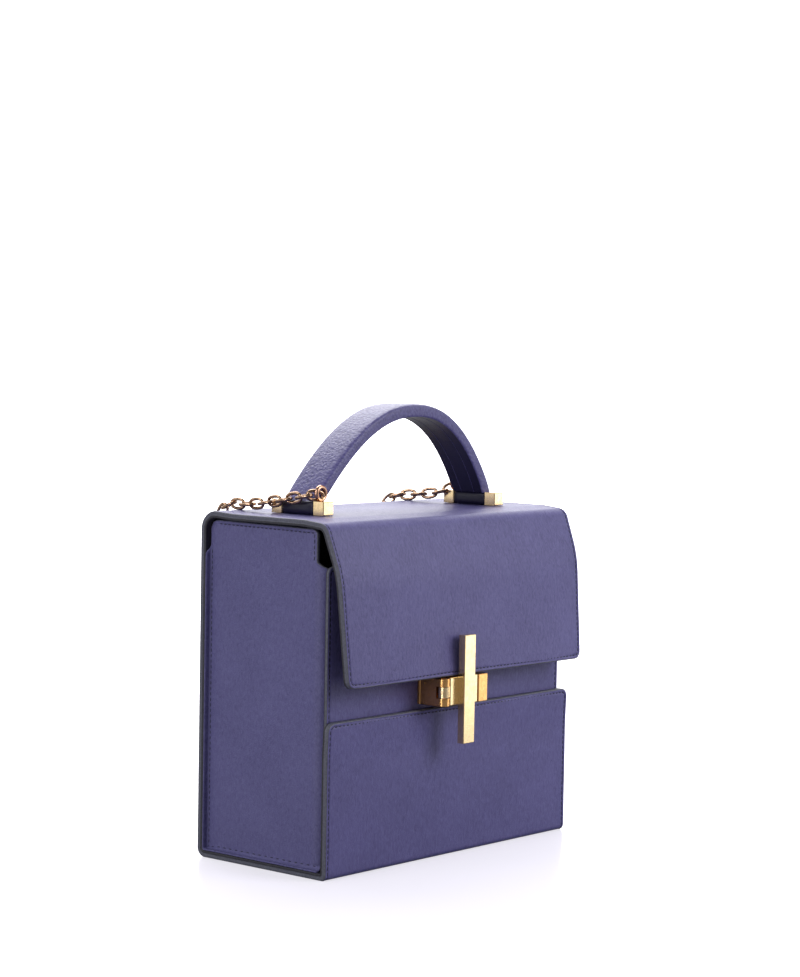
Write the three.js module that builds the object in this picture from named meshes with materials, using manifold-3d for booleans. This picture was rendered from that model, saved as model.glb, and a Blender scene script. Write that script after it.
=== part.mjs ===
// Structured box bag of stiffened leather: one wrap that runs from the front pocket round the bottom,
// back and lid to the flap, two recessed side gussets, an inner front panel, an arched top handle
// between gold fittings, a gold bar clasp on a vertical hinge and a chain strap.
// Millimetres, +Z up, the front faces -Y, the origin is the middle of the bottom face.
import * as THREE from 'three';
import { mergeVertices } from 'three/addons/utils/BufferGeometryUtils.js';
import Module from 'manifold-3d';

const wasm = await Module();
wasm.setup();

// Driving dimensions of the body. LID_FLAT shares are of half the depth, POCKET_BEND is of the pocket's height.
const BOX_WIDTH = 200;
const BOX_DEPTH = 92.4;
const LID_HEIGHT = 183.4;
const WRAP_WALL = 3.6;
const CLEARANCE = 0.3;
const LID_BACK_RISE = 1.4;
const LID_FLAT_BACK = 0.5;
const LID_FLAT_FRONT = 0.6;
const LID_BEND_ROUND = 30;
const FRONT_BOTTOM_ROUND = 3;
const BACK_BOTTOM_ROUND = 5;
const BACK_TOP_ROUND = 10;
const POCKET_HEIGHT = 80.8;
const POCKET_FLARE = 0.7;
const POCKET_BEND = 0.76;
const POCKET_BEND_ROUND = 60;
const POCKET_CORNER = 5;

// Flap: how far its lower edge stays above the pocket's, and stands ahead of the pocket's face
const FLAP_GAP = 18.2;
const FLAP_STANDOFF = 11.7;
const FLAP_TAPER = 3;
const FLAP_CORNER = 4.5;
const FLAP_TAPER_TOP = 0.06;

// The flap's outer face in front of and below the lid. out: share of the standoff, ahead of the pocket's face.
// drop: share of the flap's drop, below the lid. round: radius of the bend, as a share of the drop.
const FLAP_SECTIONS = [
  { out: -0.25, drop: 0.017, round: 0.083 },
  { out: 0.58, drop: 0.32, round: 0.71 },
  { out: 1, drop: 1, round: 0 },
];

// Side gussets and the inner front panel
const GUSSET_RECESS = 3.5;
const GUSSET_WALL = 2.4;
const GUSSET_ROLL = 8;
const GUSSET_FLANGE = 12;
const GUSSET_TOP_GAP = 0.6;
const GUSSET_TOP_SLOPE = 0.4;
const GUSSET_TOP_CORNER = 3;
const GUSSET_FREE_SETBACK = 5.5;
const GUSSET_STEP_OVERLAP = 6;
const PANEL_WALL = 2.1;
const MOUTH_HEIGHT = 23.4;
const PANEL_CORNER = 4;

// Handle and its fittings on the lid
const HANDLE_WIDTH = 21.8;
const HANDLE_THICKNESS = 7.3;
const HANDLE_RISE = 57.8;
const HANDLE_REACH = 74;
const HANDLE_SWAY = 7.2;
const HANDLE_CENTRE_Y = 0.6;
const HANDLE_FOOT = 8.2;
const HANDLE_BEVEL = 0.6;
const ARCH_POWER = 2.24;
const BLOCK_WIDTH = 7.9;
const BLOCK_LENGTH = 7.5;
const BLOCK_HEIGHT = 7.2;
const BLOCK_BEVEL = 0.4;
const ROD_RADIUS = 1.5;
const ROLL_RADIUS = 3.5;

// Eyelet rings that stand on a fitting block and hold the chain
const EYELET_RADIUS = 4.6;
const EYELET_HOLE_RADIUS = 2.5;
const EYELET_THICKNESS = 2.2;
const EYELET_INSET = 1.9;
const EYELET_FOOT = 3.2;
const EYELET_BEVEL = 0.5;

// Clasp: a tall bar on a leaf that swings about a vertical pin, between a hinge block and a catch block
const CLASP_AXIS_X = -22.6;
const CLASP_FRONT = 13.1;
const CLASP_POCKET_GAP = 2.8;
const CLASP_FLAP_GAP = 0.7;
const PLATE_THICKNESS = 2;
const HINGE_BLOCK_WIDTH = 6.8;
const LUG_HEIGHT = 4.2;
const PIN_RADIUS = 1;
const PIN_FLOOR = 1.6;
const KNUCKLE_INSET = 0.4;
const LEAF_THICKNESS = 3;
const LEAF_REACH = 26.5;
const BAR_WIDTH = 9;
const BAR_LENGTH = 57.6;
const BAR_DEPTH = 4;
const BAR_REACH = 15.2;
const BAR_BELOW_LEAF = 20.6;
const CATCH_WIDTH = 7.5;
const CATCH_PROUD = 0.6;
const HARDWARE_BEVEL = 0.3;

// Chain strap, as the round space that its links fill
const CHAIN_RADIUS = 3.2;
const CHAIN_SIDES = 10;
const CHAIN_STEPS = 40;

// The chain's way from the left eyelet over the lid's back edge, down the back, round one loose loop on the
// surface behind the bag, up the back again and over to the right eyelet. Columns: x, y, z.
const CHAIN_ROUTE = [
  [-75.6, -10.5, 194.9], [-77.4, -3.5, 193.6], [-78.8, 5, 192], [-79.2, 14, 190.5], [-79.6, 23, 189],
  [-80.2, 31, 188.2], [-80.8, 38, 188], [-81.2, 44, 187.1], [-81.4, 48.8, 183], [-81.5, 50.8, 176],
  [-81.6, 51, 160], [-81.8, 50.6, 120], [-82, 50.4, 80], [-82.2, 50.4, 40], [-81.8, 51.2, 18], [-80, 54, 6.8],
  [-73, 60, 3.6], [-52, 69, 3.6], [-20, 83, 3.6], [14, 100, 3.6], [52, 122, 3.6], [90, 142, 3.6],
  [126, 151, 3.6], [149, 140, 3.6], [154, 116, 3.6], [139, 93, 3.6], [109, 75, 3.6], [75, 61, 3.6],
  [56.5, 53.5, 6.8], [52.4, 51.2, 18], [51.4, 50.4, 40], [51.2, 50.4, 80], [51, 50.6, 120], [50.8, 51, 160],
  [51, 50.8, 176], [52, 48.8, 183], [54, 44, 187.1], [56.8, 38, 188], [59.4, 31.4, 188.6],
  [61.6, 25.6, 189.4], [63.9, 20.8, 190.2], [65.6, 18.8, 190.7],
];
const CHAIN_MEETS_AT = 0.5;

// Smallest radius of a bend, and a sliver that lets one cut run out past another's face
const SHARP = 0.3;
const SLIVER = 1e-3;

// Values worked out from the driving dimensions
const halfWidth = BOX_WIDTH / 2;
const halfDepth = BOX_DEPTH / 2;
const innerBottom = WRAP_WALL + CLEARANCE;
const innerBack = halfDepth - WRAP_WALL - CLEARANCE;
const panelFace = -halfDepth + WRAP_WALL + CLEARANCE;
const gussetOuter = halfWidth - GUSSET_RECESS;
const gussetFront = panelFace + PANEL_WALL + CLEARANCE;
const flapEdge = POCKET_HEIGHT + FLAP_GAP;
const flapDrop = LID_HEIGHT - flapEdge;
const panelHeight = LID_HEIGHT - MOUTH_HEIGHT;
const seat = LID_HEIGHT + CLEARANCE;
const blockTop = seat + BLOCK_HEIGHT;
const blockInner = HANDLE_WIDTH / 2 + CLEARANCE;
const blockMiddle = blockInner + BLOCK_LENGTH / 2;
const rodHeight = seat + BLOCK_HEIGHT / 2;
const fittingX = HANDLE_REACH - ROLL_RADIUS + CLEARANCE;

// The wrap's outer face, seen from the side, from the pocket's upper edge to the flap's lower edge.
// y and z come from the named sizes, round is the corner's radius.
const wrapOutline = [
  { y: -halfDepth - POCKET_FLARE, z: POCKET_HEIGHT, round: 0 },
  { y: -halfDepth, z: POCKET_BEND * POCKET_HEIGHT, round: POCKET_BEND_ROUND },
  { y: -halfDepth, z: 0, round: FRONT_BOTTOM_ROUND },
  { y: halfDepth, z: 0, round: BACK_BOTTOM_ROUND },
  { y: halfDepth, z: LID_HEIGHT + LID_BACK_RISE, round: BACK_TOP_ROUND },
  { y: LID_FLAT_BACK * halfDepth, z: LID_HEIGHT, round: LID_BEND_ROUND },
  { y: -LID_FLAT_FRONT * halfDepth, z: LID_HEIGHT, round: LID_BEND_ROUND },
  ...FLAP_SECTIONS.map(({ out, drop, round }) => (
    { y: -halfDepth - out * FLAP_STANDOFF, z: LID_HEIGHT - drop * flapDrop, round: round * flapDrop }
  )),
];

const navy = { color: 0x5a5882, roughness: 0.5, metalness: 0 };
const leather = new THREE.MeshStandardMaterial(navy);
const gussetLeather = new THREE.MeshStandardMaterial({ ...navy, color: 0x54537a });
const panelLeather = new THREE.MeshStandardMaterial({ ...navy, color: 0x504e76 });
const handleLeather = new THREE.MeshStandardMaterial({ ...navy, color: 0x625f8c });
const rollLeather = new THREE.MeshStandardMaterial({ color: 0x16162e, roughness: 0.35, metalness: 0 });
const paleGold = new THREE.MeshStandardMaterial({ color: 0xe9cf96, roughness: 0.25, metalness: 1 });
const orangeGold = new THREE.MeshStandardMaterial({ color: 0xd2954a, roughness: 0.25, metalness: 1 });
const chainGold = new THREE.MeshStandardMaterial({ color: 0x9a7040, roughness: 0.35, metalness: 1 });

const bag = new THREE.Group();

function addPiece(name, geometry, material) {
  const piece = new THREE.Mesh(geometry, material.clone());
  piece.name = name;
  bag.add(piece);
}

// Booleans on closed meshes

function toSolid(geometry) {
  const bare = geometry.clone();
  bare.deleteAttribute('normal');
  bare.deleteAttribute('uv');
  const merged = mergeVertices(bare, 1e-4);
  return new wasm.Manifold(new wasm.Mesh({
    numProp: 3,
    vertProperties: new Float32Array(merged.attributes.position.array),
    triVerts: new Uint32Array(merged.index.array),
  }));
}

function toGeometry(solid) {
  const mesh = solid.getMesh();
  const geometry = new THREE.BufferGeometry();
  geometry.setAttribute('position', new THREE.BufferAttribute(mesh.vertProperties, 3));
  geometry.setIndex(new THREE.BufferAttribute(mesh.triVerts, 1));
  geometry.computeVertexNormals();
  return geometry;
}

function join(...geometries) {
  return toGeometry(geometries.map(toSolid).reduce((sum, next) => sum.add(next)));
}

function cut(geometry, ...cutters) {
  return toGeometry(cutters.map(toSolid).reduce((rest, next) => rest.subtract(next), toSolid(geometry)));
}

// Extrusions of a flat shape along each axis

function extrude(shape, length, basis, bevel) {
  const geometry = new THREE.ExtrudeGeometry(shape, {
    depth: length - 2 * bevel,
    bevelEnabled: bevel > 0,
    bevelSize: bevel,
    bevelThickness: bevel,
    bevelOffset: -bevel,
    bevelSegments: 1,
    curveSegments: 10,
  });
  geometry.translate(0, 0, bevel);
  return geometry.applyMatrix4(basis);
}

const X = new THREE.Vector3(1, 0, 0);
const Y = new THREE.Vector3(0, 1, 0);
const Z = new THREE.Vector3(0, 0, 1);

// A shape drawn in (y, z), from x = low to x = high
function alongX(shape, low, high, bevel = 0) {
  const basis = new THREE.Matrix4().makeBasis(Y, Z, X);
  return extrude(shape, high - low, basis, bevel).translate(low, 0, 0);
}

// A shape drawn in (x, z), from y = low to y = high
function alongY(shape, low, high, bevel = 0) {
  const basis = new THREE.Matrix4().makeBasis(X, Z, Y.clone().negate());
  return extrude(shape, high - low, basis, bevel).translate(0, high, 0);
}

// A shape drawn in (x, y), from z = low to z = high
function alongZ(shape, low, high, bevel = 0) {
  return extrude(shape, high - low, new THREE.Matrix4(), bevel).translate(0, 0, low);
}

function rectangle(left, right, low, high) {
  return new THREE.Shape([
    new THREE.Vector2(left, low), new THREE.Vector2(right, low),
    new THREE.Vector2(right, high), new THREE.Vector2(left, high),
  ]);
}

function disc(a, b, radius) {
  return new THREE.Shape().absarc(a, b, radius, 0, 2 * Math.PI);
}

// A line through corners {a, b, round}, moved sideways by a distance to the left of the way of travel, with
// each inner corner turned into an arc. The arc's radius shrinks or grows with the distance.
function offsetLine(corners, distance) {
  const points = corners.map((corner) => new THREE.Vector2(corner.a, corner.b));
  const ways = points.slice(1).map((point, i) => point.clone().sub(points[i]).normalize());
  const leftOf = (way) => new THREE.Vector2(-way.y, way.x);
  const line = [points[0].clone().addScaledVector(leftOf(ways[0]), distance)];
  for (let i = 1; i < points.length - 1; i += 1) {
    const before = leftOf(ways[i - 1]);
    const after = leftOf(ways[i]);
    const mitre = before.clone().add(after).multiplyScalar(distance / (1 + before.dot(after)));
    const corner = points[i].clone().add(mitre);
    const turn = ways[i - 1].cross(ways[i]) > 0 ? 1 : -1;
    const angle = Math.acos(THREE.MathUtils.clamp(ways[i - 1].dot(ways[i]), -1, 1));
    const radius = Math.max(corners[i].round - turn * distance, SHARP);
    const arcStart = corner.clone().addScaledVector(ways[i - 1], -radius * Math.tan(angle / 2));
    const centre = arcStart.addScaledVector(before, turn * radius);
    const start = Math.atan2(-turn * before.y, -turn * before.x);
    const count = Math.max(2, Math.ceil(angle / 0.22));
    for (let k = 0; k <= count; k += 1) {
      const bearing = start + (turn * angle * k) / count;
      line.push(new THREE.Vector2(Math.cos(bearing), Math.sin(bearing)).multiplyScalar(radius).add(centre));
    }
  }
  const last = points.length - 1;
  line.push(points[last].clone().addScaledVector(leftOf(ways[last - 1]), distance));
  return line;
}

// A closed outline with rounded corners {a, b, round}
function roundedShape(corners) {
  const [first, last] = [corners[0], corners[corners.length - 1]];
  const start = { a: (first.a + last.a) / 2, b: (first.b + last.b) / 2, round: 0 };
  return new THREE.Shape(offsetLine([start, ...corners, start], 0).slice(0, -1));
}

// Outer wrap: one sheet along its outline, with the pocket's and the flap's free corners rounded. Each is cut
// with a frame whose hole has the outline that is left.
function makeWrap() {
  const corners = wrapOutline.map(({ y, z, round }) => ({ a: y, b: z, round }));
  const outer = offsetLine(corners, 0);
  const inner = offsetLine(corners, WRAP_WALL).reverse();
  const sheet = alongX(new THREE.Shape([...outer, ...inner]), -halfWidth, halfWidth);

  const spare = 5;
  const frame = (hole, low, high, front, back) => {
    const around = rectangle(-halfWidth - 2 * spare, halfWidth + 2 * spare, low, high);
    around.holes.push(hole);
    return alongY(around, front, back);
  };
  const narrow = halfWidth - FLAP_TAPER;
  const taperTop = LID_HEIGHT - FLAP_TAPER_TOP * flapDrop;
  const flapHole = roundedShape([
    { a: -narrow, b: flapEdge, round: FLAP_CORNER },
    { a: narrow, b: flapEdge, round: FLAP_CORNER },
    { a: halfWidth, b: taperTop, round: SHARP },
    { a: -halfWidth, b: taperTop, round: SHARP },
  ]);
  const flapFront = -halfDepth - FLAP_STANDOFF - spare;
  const flapFrame = frame(flapHole, flapEdge - spare, taperTop + SLIVER, flapFront, -halfDepth + WRAP_WALL);

  const bend = POCKET_BEND * POCKET_HEIGHT;
  const wide = halfWidth + spare;
  const pocketHole = roundedShape([
    { a: -wide, b: -spare, round: SHARP },
    { a: wide, b: -spare, round: SHARP },
    { a: wide, b: bend, round: SHARP },
    { a: halfWidth, b: bend, round: SHARP },
    { a: halfWidth, b: POCKET_HEIGHT, round: POCKET_CORNER },
    { a: -halfWidth, b: POCKET_HEIGHT, round: POCKET_CORNER },
    { a: -halfWidth, b: bend, round: SHARP },
    { a: -wide, b: bend, round: SHARP },
  ]);
  const pocketFront = -halfDepth - POCKET_FLARE - spare;
  const pocketBack = -halfDepth + WRAP_WALL + SHARP;
  const pocketFrame = frame(pocketHole, -2 * spare, POCKET_HEIGHT + spare, pocketFront, pocketBack);
  return cut(sheet, flapFrame, pocketFrame);
}

// Gusset on one side: a recessed plate that rolls inward behind the front panel, and stands free above it
function makeGusset(side) {
  const rolled = [
    { a: gussetOuter, b: innerBack, round: 0 },
    { a: gussetOuter, b: gussetFront, round: GUSSET_ROLL },
    { a: gussetOuter - GUSSET_FLANGE, b: gussetFront, round: 0 },
  ];
  const section = [...offsetLine(rolled, 0), ...offsetLine(rolled, -GUSSET_WALL).reverse()];
  const plan = new THREE.Shape(section.map((point) => new THREE.Vector2(side * point.x, point.y)));
  const low = innerBottom;
  const step = panelHeight - PANEL_CORNER;
  const flatFrom = step - GUSSET_STEP_OVERLAP;
  const top = LID_HEIGHT - WRAP_WALL - GUSSET_TOP_GAP;
  const freeFront = gussetFront + GUSSET_FREE_SETBACK;
  const bottomRound = BACK_BOTTOM_ROUND - WRAP_WALL;
  const wallShape = roundedShape([
    { a: innerBack, b: low, round: bottomRound },
    { a: innerBack, b: top + GUSSET_TOP_SLOPE, round: BACK_TOP_ROUND - WRAP_WALL },
    { a: freeFront, b: top - GUSSET_TOP_SLOPE, round: GUSSET_TOP_CORNER },
    { a: freeFront, b: flatFrom, round: SHARP },
    { a: 0, b: flatFrom, round: SHARP },
    { a: 0, b: low, round: SHARP },
  ]);
  const near = side > 0 ? gussetOuter - GUSSET_WALL : -gussetOuter;
  const plate = alongX(wallShape, near, near + GUSSET_WALL);
  const away = 10;
  const bottomCorner = alongX(roundedShape([
    { a: innerBack + away, b: low - away, round: SHARP },
    { a: innerBack + away, b: low + away, round: SHARP },
    { a: innerBack, b: low + away, round: SHARP },
    { a: innerBack, b: low, round: bottomRound },
    { a: innerBack - away, b: low, round: SHARP },
    { a: innerBack - away, b: low - away, round: SHARP },
  ]), -halfWidth, halfWidth);
  return join(cut(alongZ(plan, low, step), bottomCorner), plate);
}

function makeFrontPanel() {
  const shape = roundedShape([
    { a: -gussetOuter, b: innerBottom, round: SHARP },
    { a: gussetOuter, b: innerBottom, round: SHARP },
    { a: gussetOuter, b: panelHeight, round: PANEL_CORNER },
    { a: -gussetOuter, b: panelHeight, round: PANEL_CORNER },
  ]);
  return alongY(shape, panelFace, panelFace + PANEL_WALL);
}

// Handle: a flat band along an arch whose height falls with |x / reach| ^ power, saddled on the rolls. It has
// swung a little to the right on its rods, so that each point is moved sideways by its share of the rise.
function archLine(top, foot, reach, count) {
  return Array.from({ length: count + 1 }, (unused, i) => {
    const share = -1 + (2 * i) / count;
    const fall = Math.abs(share) ** ARCH_POWER;
    return new THREE.Vector2(share * reach + HANDLE_SWAY * (1 - fall), top - (top - foot) * fall);
  });
}

function makeHandle() {
  const foot = blockTop - CLEARANCE;
  const top = LID_HEIGHT + HANDLE_RISE;
  const outer = archLine(top, foot, HANDLE_REACH, 36);
  const inner = archLine(top - HANDLE_THICKNESS, foot, HANDLE_REACH - HANDLE_FOOT, 32).reverse();
  const low = HANDLE_CENTRE_Y - HANDLE_WIDTH / 2;
  const band = alongY(new THREE.Shape([...outer, ...inner]), low, low + HANDLE_WIDTH, HANDLE_BEVEL);
  const saddles = [-1, 1].map((side) => (
    alongY(disc(side * fittingX, rodHeight, ROLL_RADIUS + CLEARANCE), low - 2, low + HANDLE_WIDTH + 2)
  ));
  return cut(band, ...saddles);
}

// Fitting: two blocks joined by the rod that the handle's roll turns on
function makeFitting(side) {
  const x = side * fittingX;
  const outline = rectangle(x - BLOCK_WIDTH / 2, x + BLOCK_WIDTH / 2, seat, blockTop);
  const blocks = [-1, 1].map((end) => {
    const middle = HANDLE_CENTRE_Y + end * blockMiddle;
    return alongY(outline, middle - BLOCK_LENGTH / 2, middle + BLOCK_LENGTH / 2, BLOCK_BEVEL);
  });
  const [rodFront, rodBack] = [HANDLE_CENTRE_Y - blockMiddle, HANDLE_CENTRE_Y + blockMiddle];
  return join(...blocks, alongY(disc(x, rodHeight, ROD_RADIUS), rodFront, rodBack));
}

function makeRoll(side) {
  const shape = disc(side * fittingX, rodHeight, ROLL_RADIUS);
  shape.holes.push(disc(side * fittingX, rodHeight, ROD_RADIUS + CLEARANCE));
  const half = HANDLE_WIDTH / 2;
  return alongY(shape, HANDLE_CENTRE_Y - half, HANDLE_CENTRE_Y + half);
}

// Eyelet: a flat ring with a foot, standing on one block. The left one is at the front, the right one behind.
function makeEyelet(side) {
  const y = HANDLE_CENTRE_Y + side * (blockInner + EYELET_INSET);
  const height = blockTop + CLEARANCE + EYELET_RADIUS;
  const half = EYELET_THICKNESS / 2;
  const flat = half - EYELET_BEVEL;
  const profile = [
    [EYELET_HOLE_RADIUS, -flat],
    [EYELET_HOLE_RADIUS + EYELET_BEVEL, -half],
    [EYELET_RADIUS - EYELET_BEVEL, -half],
    [EYELET_RADIUS, -flat],
    [EYELET_RADIUS, flat],
    [EYELET_RADIUS - EYELET_BEVEL, half],
    [EYELET_HOLE_RADIUS + EYELET_BEVEL, half],
    [EYELET_HOLE_RADIUS, flat],
    [EYELET_HOLE_RADIUS, -flat],
  ].map(([radius, along]) => new THREE.Vector2(radius, along));
  const x = side * fittingX;
  const ring = new THREE.LatheGeometry(profile, 20).translate(x, y, height);
  const footTop = height - (EYELET_RADIUS + EYELET_HOLE_RADIUS) / 2;
  const foot = rectangle(x - EYELET_FOOT / 2, x + EYELET_FOOT / 2, blockTop + CLEARANCE, footTop);
  return join(ring, alongY(foot, y - half, y + half));
}

// Clasp
const claspFront = -halfDepth - CLASP_FRONT;
const claspLow = POCKET_HEIGHT + CLASP_POCKET_GAP;
const claspHigh = flapEdge - CLASP_FLAP_GAP;
const claspPlateBack = panelFace - CLEARANCE;
const claspPlateFront = claspPlateBack - PLATE_THICKNESS;
const claspAxisY = claspFront + LEAF_THICKNESS / 2;
const claspCatchLeft = CLASP_AXIS_X + LEAF_REACH + CLEARANCE;
const hingeRadius = HINGE_BLOCK_WIDTH / 2;
const knuckleLow = claspLow + LUG_HEIGHT;
const knuckleHigh = claspHigh - LUG_HEIGHT;
const pinSeat = claspLow + PIN_FLOOR;

function makeClaspPlate() {
  const left = CLASP_AXIS_X - hingeRadius;
  const outline = rectangle(left, claspCatchLeft + CATCH_WIDTH, claspLow, claspHigh);
  return alongY(outline, claspPlateFront, claspPlateBack, HARDWARE_BEVEL);
}

function makeHingeBlock() {
  const back = claspPlateFront - CLEARANCE;
  const plan = new THREE.Shape();
  plan.moveTo(CLASP_AXIS_X + hingeRadius, back);
  plan.lineTo(CLASP_AXIS_X - hingeRadius, back);
  plan.lineTo(CLASP_AXIS_X - hingeRadius, claspAxisY);
  plan.absarc(CLASP_AXIS_X, claspAxisY, hingeRadius, Math.PI, 2 * Math.PI);
  const block = alongZ(plan, claspLow, claspHigh, HARDWARE_BEVEL);
  const sweep = hingeRadius + 2 * CLEARANCE;
  const knuckleRoom = alongZ(disc(CLASP_AXIS_X, claspAxisY, sweep), knuckleLow, knuckleHigh);
  const bore = alongZ(disc(CLASP_AXIS_X, claspAxisY, PIN_RADIUS + CLEARANCE), pinSeat, claspHigh + 1);
  return cut(block, knuckleRoom, bore);
}

function makePin() {
  return alongZ(disc(CLASP_AXIS_X, claspAxisY, PIN_RADIUS), pinSeat + CLEARANCE, claspHigh - CLEARANCE);
}

// Leaf and bar in one: the knuckle turns between the block's lugs, and the bar lies over flap and pocket
function makeClaspBar() {
  const leafBack = claspFront + LEAF_THICKNESS;
  const leafLeft = CLASP_AXIS_X + hingeRadius + 2 * CLEARANCE;
  const leafOutline = rectangle(leafLeft, CLASP_AXIS_X + LEAF_REACH, claspLow, claspHigh);
  const leaf = alongY(leafOutline, claspFront, leafBack, HARDWARE_BEVEL);
  const low = knuckleLow + CLEARANCE;
  const high = knuckleHigh - CLEARANCE;
  const knuckle = alongZ(disc(CLASP_AXIS_X, claspAxisY, hingeRadius - KNUCKLE_INSET), low, high);
  const neckShape = rectangle(CLASP_AXIS_X, leafLeft + 1, low, high);
  const neck = alongY(neckShape, claspFront + KNUCKLE_INSET, leafBack - KNUCKLE_INSET);
  const barLeft = CLASP_AXIS_X + BAR_REACH - BAR_WIDTH / 2;
  const barLow = claspLow - BAR_BELOW_LEAF;
  const barOutline = rectangle(barLeft, barLeft + BAR_WIDTH, barLow, barLow + BAR_LENGTH);
  const bar = alongY(barOutline, claspFront - BAR_DEPTH, claspFront + KNUCKLE_INSET, HARDWARE_BEVEL);
  const bore = alongZ(disc(CLASP_AXIS_X, claspAxisY, PIN_RADIUS + CLEARANCE), low - 1, high + 1);
  return cut(join(leaf, knuckle, neck, bar), bore);
}

function makeCatch() {
  const outline = rectangle(claspCatchLeft, claspCatchLeft + CATCH_WIDTH, claspLow, claspHigh);
  return alongY(outline, claspFront - CATCH_PROUD, claspPlateFront - CLEARANCE, HARDWARE_BEVEL);
}

// Chain strap: the space of its links, as a tube in two lengths that meet behind the bag
const chainPath = new THREE.CatmullRomCurve3(
  CHAIN_ROUTE.map(([x, y, z]) => new THREE.Vector3(x, y, z)), false, 'centripetal');
chainPath.arcLengthDivisions = 800;

class ChainStretch extends THREE.Curve {
  constructor(low, high) {
    super();
    this.low = low;
    this.high = high;
  }

  getPoint(share, target = new THREE.Vector3()) {
    return chainPath.getPointAt(THREE.MathUtils.lerp(this.low, this.high, share), target);
  }
}

function makeChain(low, high) {
  const section = new THREE.Shape(Array.from({ length: CHAIN_SIDES }, (unused, i) => {
    const bearing = (2 * Math.PI * (i + 0.5)) / CHAIN_SIDES;
    return new THREE.Vector2(Math.cos(bearing), Math.sin(bearing)).multiplyScalar(CHAIN_RADIUS);
  }));
  const path = new ChainStretch(low, high);
  return new THREE.ExtrudeGeometry(section, { steps: CHAIN_STEPS, extrudePath: path, bevelEnabled: false });
}

addPiece('outer_wrap', makeWrap(), leather);
addPiece('front_panel', makeFrontPanel(), panelLeather);
addPiece('handle', makeHandle(), handleLeather);
for (const [name, side] of [['left', -1], ['right', 1]]) {
  addPiece(`gusset_${name}`, makeGusset(side), gussetLeather);
  addPiece(`handle_fitting_${name}`, makeFitting(side), paleGold);
  addPiece(`handle_roll_${name}`, makeRoll(side), rollLeather);
  addPiece(`eyelet_${name}`, makeEyelet(side), chainGold);
}
addPiece('clasp_plate', makeClaspPlate(), orangeGold);
addPiece('clasp_hinge_block', makeHingeBlock(), orangeGold);
addPiece('clasp_pin', makePin(), orangeGold);
addPiece('clasp_bar', makeClaspBar(), paleGold);
addPiece('clasp_catch', makeCatch(), orangeGold);
const meetingGap = CLEARANCE / chainPath.getLength();
addPiece('chain_strap_left', makeChain(0, CHAIN_MEETS_AT - meetingGap / 2), chainGold);
addPiece('chain_strap_right', makeChain(CHAIN_MEETS_AT + meetingGap / 2, 1), chainGold);

export default bag;
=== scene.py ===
"""Looks of the leather box bag: leather sheets with painted edges, stitches, arched handle, gold fittings and
chain. Lengths are in millimetres until a mesh is made. +Z up, the front faces -Y."""
import math

import bpy
import numpy as np
from mathutils import Matrix


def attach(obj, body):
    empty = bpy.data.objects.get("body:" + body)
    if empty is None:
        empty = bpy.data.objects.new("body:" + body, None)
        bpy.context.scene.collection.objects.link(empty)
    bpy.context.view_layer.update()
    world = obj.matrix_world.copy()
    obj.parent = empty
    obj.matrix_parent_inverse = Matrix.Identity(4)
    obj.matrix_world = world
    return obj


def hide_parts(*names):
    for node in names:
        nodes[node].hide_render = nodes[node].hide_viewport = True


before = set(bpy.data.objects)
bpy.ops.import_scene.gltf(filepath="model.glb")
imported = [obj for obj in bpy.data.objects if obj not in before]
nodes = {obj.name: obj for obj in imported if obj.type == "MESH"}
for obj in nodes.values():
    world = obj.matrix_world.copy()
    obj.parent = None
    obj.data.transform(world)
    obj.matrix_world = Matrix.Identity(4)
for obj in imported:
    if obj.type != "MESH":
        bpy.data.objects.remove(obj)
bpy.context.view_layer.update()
scene = bpy.context.scene

MM = 0.001

# Body, as in the part's source
HALF_WIDTH = 100.0
HALF_DEPTH = 46.2
WRAP_WALL = 3.6
POCKET_CORNER = 5.0
FLAP_EDGE = 99.0
FLAP_TAPER = 3.0
FLAP_TAPER_TOP = 178.3
FLAP_CORNER = 4.5

# The wrap's outer face seen from the side, from the pocket's upper edge to the flap's lower edge: y, z, round
WRAP_OUTLINE = [
    (-46.9, 80.8, 0.0), (-46.2, 61.4, 60.0), (-46.2, 0.0, 3.0), (46.2, 0.0, 5.0), (46.2, 184.8, 10.0),
    (23.1, 183.4, 30.0), (-27.72, 183.4, 30.0), (-43.28, 181.97, 7.0), (-52.99, 156.4, 59.9),
    (-57.9, 99.0, 0.0),
]
SHARP = 0.3
SPARE = 6.0

# Gusset and inner front panel
GUSSET_FACE = 96.5
GUSSET_WALL = 2.4
GUSSET_BACK = 42.3
GUSSET_FRONT = -39.9
GUSSET_ROLL = 8.0
GUSSET_FLANGE = 4.0
GUSSET_LOW = 3.9
GUSSET_TOP = 179.6
GUSSET_SLOPE = 0.8
GUSSET_TURN = (155.0, 163.0)
GUSSET_FREE = 2.5
PANEL_FACE = -42.3
PANEL_WALL = 2.1
PANEL_TOP = 160.0
PANEL_CORNER = 4.0

# The gusset's leather turned out in a cove and stitched to the wrap: its way's start on the bottom, its slanted
# end on the back, its cove there and along the bottom, its width, how far it reaches out from the gusset, its
# wall, and the pitch of its pleats and of its stitches along the bottom
FLANGE_START = -41.0
FLANGE_END = (162.5, 167.0)
FLANGE_COVE = (1.25, 2.2)
FLANGE_WIDTH = 3.9
FLANGE_REACH = 3.0
FLANGE_WALL = 0.8
FLANGE_PITCH = 4.2

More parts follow.
